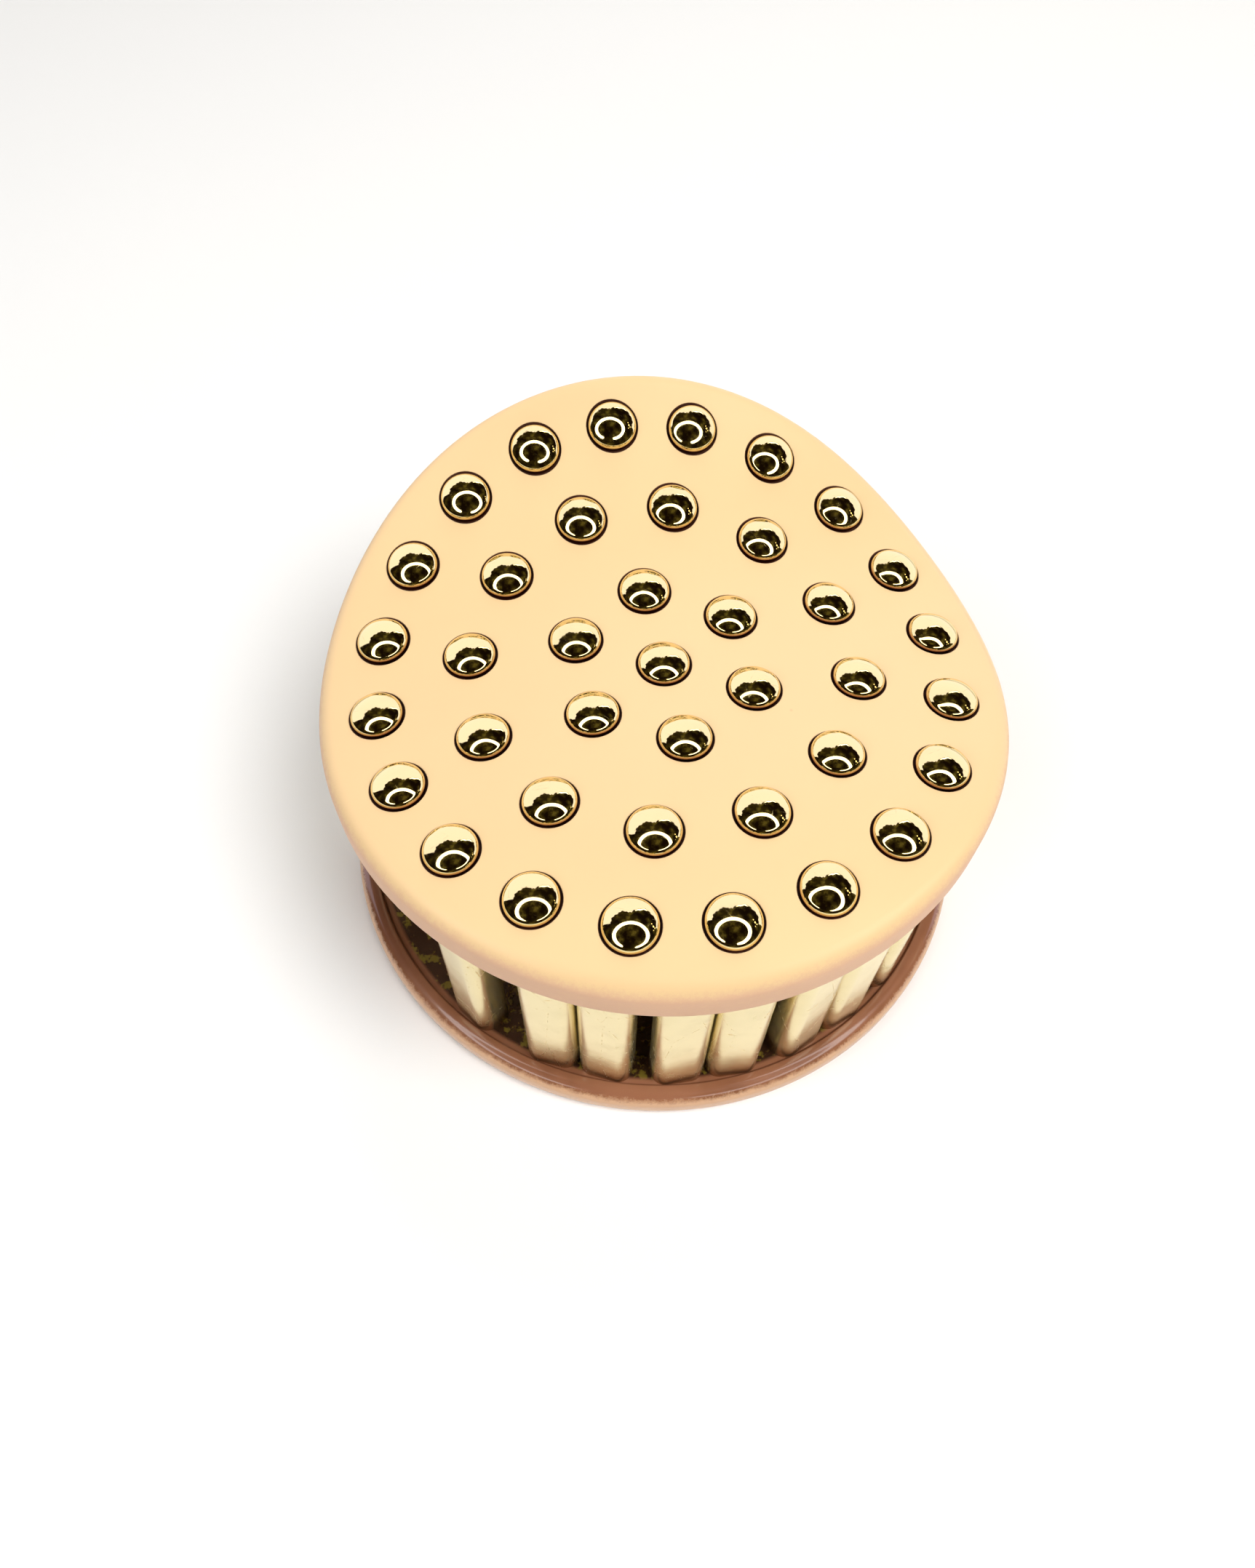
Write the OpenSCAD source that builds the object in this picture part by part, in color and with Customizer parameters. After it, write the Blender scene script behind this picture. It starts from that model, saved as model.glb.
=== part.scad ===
// Flower frog: two round resin plates joined by polished brass rods, with domed brass
// studs set in rings over the hand-shaped top plate. Millimetres, +Z up.
// The origin is the centre of the base plate's underside.

/* [Plates] */
// Diameter of the base plate
base_d = 78; // [74:1:112]
// Diameter of the top plate, measured over its curve
plate_d = 76; // [70:1:110]
// Thickness of the base plate at its rim
base_t = 4; // [3.8:0.1:8]
// Radius of the base plate's rounded edges
base_edge_r = 1.6; // [0.4:0.1:1.8]
// Width of the base plate's raised rim, outside the pillars
rim_w = 2.3; // [1.9:0.1:4]
// Drop from the rim to the floor that the rods stand on
floor_drop = 0.5; // [0.2:0.1:0.7]
// Thickness of the top plate, measured straight down
top_t = 5.4; // [4.2:0.1:8]
// Radius of the top plate's upper edge
top_edge_r = 1.8; // [0.4:0.1:2]
// Radius of the top plate's lower edge
top_lower_edge_r = 0.8; // [0.4:0.1:1.6]
// Clear height from the base plate's floor to the top plate at the centre
clear_h = 26.4; // [20:0.1:60]

/* [Wave of the top plate] */
// Rise of the whole rim over the centre
crown = 1.7; // [-2:0.1:2]
// Height of the two-fold wave at the rim
saddle = 4.2; // [0:0.1:4.5]
// Direction of the two-fold wave's crest
saddle_turn = -73.5; // [-90:0.5:90]
// Height of the three-fold wave at the rim
ripple = 2.2; // [0:0.1:2.5]
// Direction of the three-fold wave's crest
ripple_turn = -17; // [-60:0.5:60]
// Height of the one-sided lift at the rim
lift = 5.3; // [0:0.1:5.5]
// Direction of the one-sided lift
lift_turn = 105; // [-180:1:180]

/* [Studs] */
// Radius of a stud's domed head
head_r = 2.85; // [2:0.05:3.45]
// Height of the dome over the plate
dome_h = 1.45; // [1.1:0.05:2]
// Radius of the dome's rolled edge
dome_edge_r = 0.9; // [0.3:0.05:1]
// Gap round a head in its counterbore
head_gap = 0.15; // [0.05:0.05:0.4]
// Depth of the counterbore that a head sits in
seat_depth = 0.45; // [0.3:0.05:0.8]
// Step in from the dome's edge to its collar
collar_step = 0.05; // [0.02:0.01:0.2]
// Radius of the peg under a head
peg_r = 1.2; // [0.8:0.1:1.6]
// Length of the peg under the collar
peg_len = 1.4; // [0.5:0.05:1.6]
// Distance from the plate's edge in to the rim ring of studs
rim_inset = 6.6; // [5:0.1:8]
// Number of studs in the rim ring
rim_count = 20; // [10:1:24]
// Turn of the rim ring
rim_turn = 15.2; // [0:0.1:18]
// Radius of the middle ring of studs and posts
middle_ring_r = 21.3; // [19:0.1:22]
// Number of studs and posts in the middle ring
middle_count = 12; // [6:1:14]
// Turn of the middle ring
middle_turn = 0.4; // [0:0.1:30]
// Radius of the inner ring of studs and posts
inner_ring_r = 10.2; // [9:0.1:12]
// Number of studs and posts in the inner ring
inner_count = 6; // [3:1:6]
// Turn of the inner ring
inner_turn = 45.6; // [0:0.1:60]

/* [Rods between the plates] */
// Width of an outer pillar, along the rim
pillar_w = 6.2; // [4:0.1:6.4]
// Depth of an outer pillar, towards the middle
pillar_depth = 4.4; // [3:0.1:6]
// Radius of an outer pillar's rounded corners
pillar_corner_r = 1.7; // [0.4:0.1:2]
// Gap between the pillars and the base plate's rim
pillar_rim_gap = 0.1; // [0.05:0.05:1]
// Least distance from a pillar's outer face in to the top plate's edge
plate_overhang = 1.2; // [1:0.1:3]
// Number of places for a pair of pillars
pair_count = 15; // [8:1:15]
// Gap between the two pillars of a pair
pair_gap = 0.15; // [0.1:0.05:0.5]
// Direction of the first pair
pair_turn = -149.2; // [-180:0.1:180]
// Number of pillar places left open for the stems, counted from the first pair
open_places = 3; // [0:1:8]
// Turn of the first pillar from its place towards the stems' opening
first_turn = 3.7; // [0:0.1:6]
// Diameter of a middle or an inner post
post_d = 6; // [4:0.1:7]
// Depth of the rods' sockets in the base plate
base_socket = 1.1; // [0.8:0.1:2]
// Least depth of the rods' sockets in the top plate
top_socket = 0.6; // [0.4:0.1:0.8]
// Clearance round a rod in its socket
socket_gap = 0.02; // [0.01:0.01:0.04]

/* [Centre tie] */
// Diameter of the tie bolt's shank
bolt_d = 3; // [2:0.1:3.6]
// Clearance round the shank
bolt_gap = 0.1; // [0.05:0.05:0.3]
// Outer diameter of the sleeve over the bolt
sleeve_d = 6; // [5:0.1:8]
// Depth of the sleeve's seats in both plates
sleeve_seat = 0.4; // [0.3:0.1:0.6]
// Diameter of the washer
washer_d = 7; // [6:0.1:9]
// Thickness of the washer
washer_t = 0.4; // [0.3:0.1:0.5]
// Distance across the nut's flats
nut_flats = 5.5; // [5:0.1:6.5]
// Thickness of the nut
nut_t = 1.4; // [1:0.1:1.6]
// Clearance between the nut's thread and the bolt
thread_gap = 0.02; // [0.01:0.01:0.05]
// Gap between the washer and its recess
recess_gap = 0.3; // [0.1:0.1:0.6]
// Depth of the nut's face inside the recess
nut_inset = 0.2; // [0.1:0.1:0.4]
// Length of bolt that stands out of the nut
bolt_proud = 0.1; // [0.05:0.05:0.2]

/* [Hidden] */
$fn = 96;

base_r = base_d / 2;
plate_r = plate_d / 2;
floor_z = base_t - floor_drop;
floor_r = base_r - rim_w;
under_z = floor_z + clear_h;
top_z = under_z + top_t;
post_r = post_d / 2;
rim_ring_r = plate_r - rim_inset;
// The rounded outer corners of a pair just clear the rim
corner_reach = floor_r - pillar_rim_gap - pillar_corner_r;
corner_side = pillar_w + pair_gap / 2 - pillar_corner_r;
pillar_ring_r =
    sqrt(pow(corner_reach, 2) - pow(corner_side, 2)) + pillar_corner_r - pillar_depth / 2;
pair_pitch = 360 / pair_count;
counterbore_r = head_r + head_gap;
bolt_r = bolt_d / 2;
bolt_hole_r = bolt_r + bolt_gap;
recess_r = washer_d / 2 + recess_gap;
recess_h = nut_inset + nut_t + washer_t;

// How far cutters reach past the faces that they open
reach = 1;
// How far a cutter rises over the waved plate
wave_reach = abs(crown) + saddle + ripple + lift + reach;
cutter = 4 * wave_reach;
// Sides of the top plate's outline and rings across its faces
plate_sides = 72;
face_rings = 6;
edge_steps = 5;
// Step over which the wave's slope is taken
slope_step = 0.01;
// Straight steps in a line over the wave, and rounds that find where it ends
line_steps = 16;
line_rounds = 4;
// Sides of a hexagon
hex_sides = 6;

peach = [0.98, 0.84, 0.62];
tan_resin = [0.72, 0.50, 0.34];
gold = [0.90, 0.78, 0.42];

// ---- The wave of the top plate ----

// Height of the wave over a point of the plate
function wave(x, y) =
    let (q = sqrt(x * x + y * y) / plate_r, a = atan2(y, x))
    q * q * (crown + saddle * cos(2 * (a - saddle_turn)))
    + q * q * q * (ripple * cos(3 * (a - ripple_turn)) + lift * cos(a - lift_turn));

// Slopes of the wave along X and along Y
function slope_x(x, y) =
    (wave(x + slope_step, y) - wave(x - slope_step, y)) / (2 * slope_step);
function slope_y(x, y) =
    (wave(x, y + slope_step) - wave(x, y - slope_step)) / (2 * slope_step);

// ---- Places ----

function on_ring(r, a) = [r * cos(a), r * sin(a)];
function wave_at(r, a) = let (p = on_ring(r, a)) wave(p[0], p[1]);
function sum(list) = [for (i = list) 1] * list;

// Length of a line over the wave, from the middle out to radius r in direction a
function line_length(r, a) = sum([
    for (i = [1 : line_steps])
        norm([r / line_steps,
            wave_at(r * i / line_steps, a) - wave_at(r * (i - 1) / line_steps, a)])
]);

// Radius, seen from above, at which a line of length s over the wave ends
function pulled_in(s, a, r, rounds) =
    rounds == 0 ? r : pulled_in(s, a, r * s / line_length(r, a), rounds - 1);
function over_wave(s, a) = on_ring(pulled_in(s, a, s, line_rounds), a);
function ring_places(s, count, turn) =
    [for (i = [0 : count - 1]) over_wave(s, turn + i * 360 / count)];

RIM = ring_places(rim_ring_r, rim_count, rim_turn);
MIDDLE = ring_places(middle_ring_r, middle_count, middle_turn);
INNER = ring_places(inner_ring_r, inner_count, inner_turn);

// Radius at which a pair of pillars stands, within the rim of both plates
function pair_r(a) =
    min(pillar_ring_r, norm(over_wave(plate_r, a)) - plate_overhang - pillar_depth / 2);

// Every place for a pillar as [spot, direction]. The two of a pair stand side by side.
PLACES = [
    for (k = [0 : pair_count - 1], side = [-0.5, 0.5])
        let (a = pair_turn + k * pair_pitch
            - (2 * k + side + 0.5 == open_places ? first_turn : 0))
            [on_ring(pair_r(a), a) + on_ring(side * (pillar_w + pair_gap), a + 90), a]
];
PILLARS = [for (i = [open_places : len(PLACES) - 1]) PLACES[i]];

function numbered(name, i) = str(name, "_", i < 10 ? "0" : "", i);
function names(name, list) = [for (i = [1 : len(list)]) numbered(name, i)];

// ---- The top plate ----

// Points of the plate's half profile as [radius, height over the underside],
// from the middle of the upper face, round the edge, to the middle of the lower face
upper_flat = plate_r - top_edge_r;
lower_flat = plate_r - top_lower_edge_r;
profile = concat(
    [for (i = [1 : face_rings]) [upper_flat * i / face_rings, top_t]],
    [for (i = [1 : edge_steps]) let (a = 90 - 90 * i / edge_steps)
        [upper_flat + top_edge_r * cos(a), top_t - top_edge_r + top_edge_r * sin(a)]],
    [for (i = [0 : edge_steps]) let (a = -90 * i / edge_steps)
        [lower_flat + top_lower_edge_r * cos(a), top_lower_edge_r + top_lower_edge_r * sin(a)]],
    [for (i = [face_rings - 1 : -1 : 1]) [lower_flat * i / face_rings, 0]]
);

// A point of the plate's skin, at length s over the wave and height h in the plate
function skin_point(s, h, a) =
    let (p = over_wave(s, a)) [p[0], p[1], under_z + h + wave(p[0], p[1])];

// Number of a point on ring i, at side j; point 0 is the middle of the upper face
function skin_index(i, j) = 1 + i * plate_sides + j % plate_sides;

module waved_disc() {
    last = len(profile) - 1;
    under_pole = 1 + len(profile) * plate_sides;
    points = concat(
        [[0, 0, top_z]],
        [for (p = profile, j = [0 : plate_sides - 1])
            skin_point(p[0], p[1], j * 360 / plate_sides)],
        [[0, 0, under_z]]
    );
    sides = [0 : plate_sides - 1];
    faces = concat(
        [for (j = sides) [0, skin_index(0, j + 1), skin_index(0, j)]],
        [for (i = [0 : last - 1], j = sides)
            [skin_index(i, j), skin_index(i, j + 1), skin_index(i + 1, j + 1)]],
        [for (i = [0 : last - 1], j = sides)
            [skin_index(i, j), skin_index(i + 1, j + 1), skin_index(i + 1, j)]],
        [for (j = sides) [under_pole, skin_index(last, j), skin_index(last, j + 1)]]
    );
    polyhedron(points, faces);
}

// Puts its children over a place at height z in the plate, square to the waved surface
module on_wave(p, z) {
    gx = slope_x(p[0], p[1]);
    gy = slope_y(p[0], p[1]);
    translate([p[0], p[1], z + wave(p[0], p[1])])
        rotate(a = atan(norm([gx, gy])), v = [gy, -gx, 0])
        children();
}

module on_top(p) on_wave(p, top_z) children();

// Counterbore and peg hole of a stud
module stud_hole() {
    translate([0, 0, -seat_depth])
        cylinder(h = seat_depth + reach, r = counterbore_r);
    translate([0, 0, -seat_depth - peg_len])
        cylinder(h = seat_depth + peg_len, r = peg_r + socket_gap);
}

// Outline of a rod, grown by a clearance
module post_outline(grow) circle(r = post_r + grow);

module pillar_outline(grow) {
    x = pillar_depth / 2 - pillar_corner_r;
    y = pillar_w / 2 - pillar_corner_r;
    r = pillar_corner_r + grow;
    square([2 * x + 2 * r, 2 * y], center = true);
    square([2 * x, 2 * y + 2 * r], center = true);
    for (i = [-1, 1], j = [-1, 1])
        translate([i * x, j * y]) circle(r = r);
}

// A rod with its outline from height bottom up into the top plate's underside,
// cut off there square to the waved surface
module rod(p, a, bottom) {
    difference() {
        translate([p[0], p[1], bottom])
            rotate(a)
            linear_extrude(height = top_z + wave_reach - bottom)
            children();
        on_wave(p, under_z + top_socket)
            translate([-cutter / 2, -cutter / 2, 0])
            cube(cutter);
    }
}

module top_plate() {
    color(peach)
        difference() {
            waved_disc();
            for (p = concat(RIM, MIDDLE, INNER)) on_top(p) stud_hole();
            for (q = PILLARS)
                rod(q[0], q[1], under_z - wave_reach)
                pillar_outline(socket_gap);
            for (p = concat(MIDDLE, INNER))
                rod(p, 0, under_z - wave_reach)
                post_outline(socket_gap);
            translate([0, 0, top_z - seat_depth])
                cylinder(h = seat_depth + reach, r = counterbore_r);
            translate([0, 0, under_z - reach])
                cylinder(h = top_t + reach, r = bolt_hole_r);
            translate([0, 0, under_z - reach])
                cylinder(h = reach + sleeve_seat, r = sleeve_d / 2 + socket_gap);
        }
}

// ---- The base plate ----

module base_profile() {
    flat = base_r - base_edge_r;
    square([flat, base_t]);
    translate([0, base_edge_r])
        square([base_r, base_t - 2 * base_edge_r]);
    for (h = [base_edge_r, base_t - base_edge_r])
        translate([flat, h])
            circle(r = base_edge_r);
}

// Socket for a rod in the floor of the base plate
module base_socket_hole(p, a) {
    translate([p[0], p[1], floor_z - base_socket])
        rotate(a)
        linear_extrude(height = base_socket + floor_drop)
        children();
}

module base_plate() {
    color(tan_resin)
        difference() {
            rotate_extrude() base_profile();
            translate([0, 0, floor_z])
                cylinder(h = floor_drop + reach, r = floor_r);
            for (q = PILLARS)
                base_socket_hole(q[0], q[1]) pillar_outline(socket_gap);
            for (p = concat(MIDDLE, INNER))
                base_socket_hole(p, 0) post_outline(socket_gap);
            translate([0, 0, -reach])
                cylinder(h = base_t + 2 * reach, r = bolt_hole_r);
            translate([0, 0, floor_z - sleeve_seat])
                cylinder(h = sleeve_seat + floor_drop, r = sleeve_d / 2 + socket_gap);
            translate([0, 0, -reach])
                cylinder(h = recess_h + reach, r = recess_r);
        }
}

// ---- Studs ----

// The dome's crown is an arc of radius crown_r that runs into its rolled edge
edge_x = head_r - dome_edge_r;
edge_rise = dome_h - dome_edge_r;
crown_drop = (edge_x * edge_x - edge_rise * edge_rise) / (2 * edge_rise);
crown_r = crown_drop + dome_h;
crown_end = edge_x * crown_r / (crown_r - dome_edge_r);

// Dome of a head, its flat side at z = 0
module dome() {
    rotate_extrude() {
        intersection() {
            square([crown_end, dome_h]);
            translate([0, -crown_drop]) circle(r = crown_r);
        }
        intersection() {
            translate([edge_x, 0]) circle(r = dome_edge_r);
            square([head_r, dome_h]);
        }
    }
}

// Domed head with its collar down to the floor of the counterbore
module head() {
    dome();
    translate([0, 0, -seat_depth])
        cylinder(h = seat_depth, r = head_r - collar_step);
}

module stud() {
    head();
    translate([0, 0, -seat_depth - peg_len])
        cylinder(h = peg_len, r = peg_r);
}

module studs(places) {
    color(gold)
        for (p = places) on_top(p) stud();
}

module rim_studs() studs(RIM);
module middle_studs() studs(MIDDLE);
module inner_studs() studs(INNER);

// ---- Rods ----

rod_bottom = floor_z - base_socket;

module pillar(i) {
    q = PILLARS[i - 1];
    color(gold)
        rod(q[0], q[1], rod_bottom)
        pillar_outline(0);
}

module middle_post(i) {
    color(gold)
        rod(MIDDLE[i - 1], 0, rod_bottom)
        post_outline(0);
}

module inner_post(i) {
    color(gold)
        rod(INNER[i - 1], 0, rod_bottom)
        post_outline(0);
}

// ---- Centre tie ----

module tie_bolt() {
    shank_end = nut_inset - bolt_proud;
    color(gold) {
        translate([0, 0, top_z]) head();
        translate([0, 0, shank_end])
            cylinder(h = top_z - seat_depth - shank_end, r = bolt_r);
    }
}

module centre_sleeve() {
    bottom = floor_z - sleeve_seat;
    height = clear_h + 2 * sleeve_seat;
    color(gold)
        translate([0, 0, bottom])
            difference() {
                cylinder(h = height, r = sleeve_d / 2);
                translate([0, 0, -reach])
                    cylinder(h = height + 2 * reach, r = bolt_hole_r);
            }
}

module tie_washer() {
    color(gold)
        translate([0, 0, nut_inset + nut_t])
            difference() {
                cylinder(h = washer_t, r = washer_d / 2);
                translate([0, 0, -reach])
                    cylinder(h = washer_t + 2 * reach, r = bolt_hole_r);
            }
}

module tie_nut() {
    color(gold)
        translate([0, 0, nut_inset])
            difference() {
                cylinder(h = nut_t, r = nut_flats / 2 / cos(180 / hex_sides), $fn = hex_sides);
                translate([0, 0, -reach])
                    cylinder(h = nut_t + 2 * reach, r = bolt_r + thread_gap);
            }
}

base_plate();
top_plate();
rim_studs();
middle_studs();
inner_studs();
tie_bolt();
centre_sleeve();
tie_washer();
tie_nut();
for (i = [1 : len(PILLARS)])
    pillar(i);
for (i = [1 : len(MIDDLE)])
    middle_post(i);
for (i = [1 : len(INNER)])
    inner_post(i);
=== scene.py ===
"""Studio scene of a flower frog: two resin plates, polished brass rods and domed studs.

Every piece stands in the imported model's frame: +Z up and the origin at the centre of the
base plate's underside. Sizes are in millimetres until a piece is finished, and a finished
mesh is in metres.
"""

import logging
import math
from dataclasses import dataclass, field
from enum import Enum
from typing import Any, Callable, Iterable, Protocol

import bmesh
import bpy
from mathutils import Matrix, Vector


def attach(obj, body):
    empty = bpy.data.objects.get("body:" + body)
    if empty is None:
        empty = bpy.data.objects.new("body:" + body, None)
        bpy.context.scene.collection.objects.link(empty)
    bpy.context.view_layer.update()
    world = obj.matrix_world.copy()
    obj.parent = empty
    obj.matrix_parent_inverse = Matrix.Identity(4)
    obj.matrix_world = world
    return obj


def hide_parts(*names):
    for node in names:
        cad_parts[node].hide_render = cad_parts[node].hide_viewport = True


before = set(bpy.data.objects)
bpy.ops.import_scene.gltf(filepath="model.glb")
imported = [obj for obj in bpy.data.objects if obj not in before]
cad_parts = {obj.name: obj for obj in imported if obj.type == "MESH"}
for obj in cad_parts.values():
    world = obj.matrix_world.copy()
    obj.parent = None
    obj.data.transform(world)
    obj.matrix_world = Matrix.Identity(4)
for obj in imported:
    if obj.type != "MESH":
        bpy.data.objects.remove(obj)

LOG = logging.getLogger("flower_frog")
MM = 0.001
UP = Vector((0.0, 0.0, 1.0))

Point = tuple[float, float]
Point3 = tuple[float, float, float]
Colour = tuple[float, float, float]


class Slot(Enum):
    """Material slots of the record."""

    TOP_RESIN = "top_resin"
    BASE_RESIN = "base_resin"
    POLISHED_BRASS = "polished_brass"
    PLAIN_BRASS = "plain_brass"


# ---- Shaping ----


class Shape:
    """A solid in the making, in millimetres."""

    def __init__(self) -> None:
        """Starts with nothing."""
        self.bm = bmesh.new()

    @classmethod
    def turned(cls, profile: Iterable[Point], segments: int = 64, ring: bool = False) -> "Shape":
        """Turns a half profile about Z.

        Args:
            profile: Points as (radius, height), from one end to the other.
            segments: Steps in the full turn.
            ring: Whether the profile closes on itself, as round a bore.

        Returns:
            The turned solid.
        """
        shape = cls()
        verts = [shape.bm.verts.new((x, 0.0, z)) for x, z in profile]
        ends = zip(verts, verts[1:] + verts[:1]) if ring else zip(verts, verts[1:])
        edges = [shape.bm.edges.new(pair) for pair in ends]
        bmesh.ops.spin(
            shape.bm, geom=verts + edges, cent=(0, 0, 0), axis=UP, dvec=(0, 0, 0),
            angle=math.tau, steps=segments, use_merge=True,
        )
        shape.heal()
        return shape

    @classmethod
    def prism(cls, outline: "Shape", bottom: float, top: float) -> "Shape":
        """Raises a flat outline into a prism.

        Args:
            outline: A shape with one flat face at height 0.
            bottom: Height of the prism's foot.
            top: Height of the prism's head.

        Returns:
            The outline's own shape, now a prism.
        """
        bm = outline.bm
        bmesh.ops.translate(bm, vec=(0, 0, bottom), verts=bm.verts)
        grown = bmesh.ops.extrude_face_region(bm, geom=bm.faces[:], use_keep_orig=True)
        head = [g for g in grown["geom"] if isinstance(g, bmesh.types.BMVert)]
        bmesh.ops.translate(bm, vec=(0, 0, top - bottom), verts=head)
        outline.heal()
        return outline

    @classmethod
    def copies(cls, template: "Shape", places: Iterable[Matrix]) -> "Shape":
        """Sets a copy of a shape at each place.

        Args:
            template: The shape to copy.
            places: One matrix for each copy.

        Returns:
            One shape that holds all the copies.
        """
        shape = cls()
        mesh = bpy.data.meshes.new("template")
        template.bm.to_mesh(mesh)
        for place in places:
            count = len(shape.bm.verts)
            shape.bm.from_mesh(mesh)
            shape.bm.verts.ensure_lookup_table()
            bmesh.ops.transform(shape.bm, matrix=place, verts=shape.bm.verts[count:])
        bpy.data.meshes.remove(mesh)
        return shape

    def heal(self) -> None:
        """Closes seams and poles and points every face outwards."""
        bmesh.ops.remove_doubles(self.bm, verts=self.bm.verts, dist=1e-4)
        bmesh.ops.recalc_face_normals(self.bm, faces=self.bm.faces)

    def bend(self, bent: Callable[[Vector], Vector]) -> None:
        """Moves every vertex to where a function puts it."""
        for vert in self.bm.verts:
            vert.co = bent(vert.co)

    def cut_off(self, place: Vector, facing: Vector) -> None:
        """Cuts off what lies on one side of a plane and closes the cut.

        Args:
            place: A point of the plane.
            facing: Direction in which the shape is cut away.
        """
        geom = self.bm.verts[:] + self.bm.edges[:] + self.bm.faces[:]
        cut = bmesh.ops.bisect_plane(
            self.bm, geom=geom, dist=1e-5, plane_co=place, plane_no=facing, clear_outer=True
        )
        rim = [g for g in cut["geom_cut"] if isinstance(g, bmesh.types.BMEdge)]
        bmesh.ops.holes_fill(self.bm, edges=rim, sides=0)
        self.heal()

    def soften(self, width: float, angle: float = 40.0, segments: int = 2) -> None:
        """Rounds every edge that turns by more than an angle.

        Args:
            width: Width of the rounding.
            angle: Least turn across an edge, in degrees.
            segments: Steps in the rounding.
        """
        limit = math.radians(angle)
        sharp = [e for e in self.bm.edges if e.is_manifold and e.calc_face_angle(0.0) > limit]
        bmesh.ops.bevel(
            self.bm, geom=sharp, offset=width, offset_type="OFFSET", affect="EDGES",
            segments=segments, profile=0.5, material=-1, clamp_overlap=True,
        )

    def mesh(self, name: str, crease: float) -> bpy.types.Mesh:
        """Turns the shape into a smooth mesh in metres.

        Args:
            name: The mesh's name.
            crease: Angle over which an edge stays sharp, in degrees.

        Returns:
            The mesh. The shape is used up.
        """
        bmesh.ops.scale(self.bm, vec=(MM, MM, MM), verts=self.bm.verts)
        mesh = bpy.data.meshes.new(name)
        self.bm.to_mesh(mesh)
        self.bm.free()
        smooth(mesh, crease)
        return mesh


def smooth(mesh: bpy.types.Mesh, crease: float) -> None:
    """Shades a mesh smooth, but for edges over the crease angle in degrees."""
    mesh.shade_smooth()
    mesh.set_sharp_from_angle(angle=math.radians(crease))


def arc(centre: Point, radius: float, start: float, end: float, steps: int) -> list[Point]:
    """Points along an arc of a profile.

    Args:
        centre: The arc's centre.
        radius: Its radius.
        start: Angle of the first point, in degrees.
        end: Angle of the last point, in degrees.
        steps: Number of steps between them.

    Returns:
        The points, both ends included.
    """
    turns = [math.radians(start + (end - start) * i / steps) for i in range(steps + 1)]
    return [(centre[0] + radius * math.cos(t), centre[1] + radius * math.sin(t)) for t in turns]


def spaced(start: float, end: float, step: float) -> list[float]:
    """Evenly spaced numbers from start to end, both included, about a step apart."""
    count = max(1, round(abs(end - start) / step))
    return [start + (end - start) * i / count for i in range(count + 1)]


def show(name: str, mesh: bpy.types.Mesh) -> bpy.types.Object:
    """Puts a mesh into the scene as an object at the origin."""
    obj = bpy.data.objects.new(name, mesh)
    bpy.context.scene.collection.objects.link(obj)
    return obj


def place_piece(
    name: str, mesh: bpy.types.Mesh, slot: Slot, material: bpy.types.Material, *nodes: str
) -> bpy.types.Object:
    """Adds a piece of the frog.

    Args:
        name: The piece's name.
        mesh: Its finished mesh.
        slot: The record's slot that its finish comes from. It is not used.
        material: Its material.
        *nodes: The frame's nodes that it stands for.

    Returns:
        The piece, which rides on the root body.
    """
    mesh.materials.clear()
    mesh.materials.append(material)
    obj = show(name, mesh)
    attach(obj, "root")
    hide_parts(*nodes)
    LOG.info("%s stands for %s, %d faces", name, ", ".join(nodes), len(mesh.polygons))
    return obj


# ---- Node graphs ----


class Wire:
    """A value in a material's graph. Sums on it add Math nodes."""

    def __init__(self, graph: "Graph", socket: bpy.types.NodeSocket) -> None:
        """Wraps an output socket of a graph."""
        self.graph = graph
        self.socket = socket

    def _math(self, operation: str, *values: Any) -> "Wire":
        """Adds a Math node on some values."""
        return self.graph.add("Math", {"operation": operation}, dict(enumerate(values)))

    def __add__(self, other: Any) -> "Wire":
        """Adds."""
        return self._math("ADD", self, other)

    __radd__ = __add__

    def __sub__(self, other: Any) -> "Wire":
        """Subtracts."""
        return self._math("SUBTRACT", self, other)

    def __rsub__(self, other: Any) -> "Wire":
        """Subtracts from a number."""
        return self._math("SUBTRACT", other, self)

    def __mul__(self, other: Any) -> "Wire":
        """Multiplies."""
        return self._math("MULTIPLY", self, other)

    __rmul__ = __mul__

    def __pow__(self, other: Any) -> "Wire":
        """Raises to a power."""
        return self._math("POWER", self, other)

    def step(self, low: float, high: float) -> "Wire":
        """Runs smoothly from 0 at low to 1 at high, which may be the smaller."""
        return self.graph.add(
            "MapRange", {"interpolation_type": "SMOOTHSTEP"},
            {"Value": self, "From Min": low, "From Max": high},
        )


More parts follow.
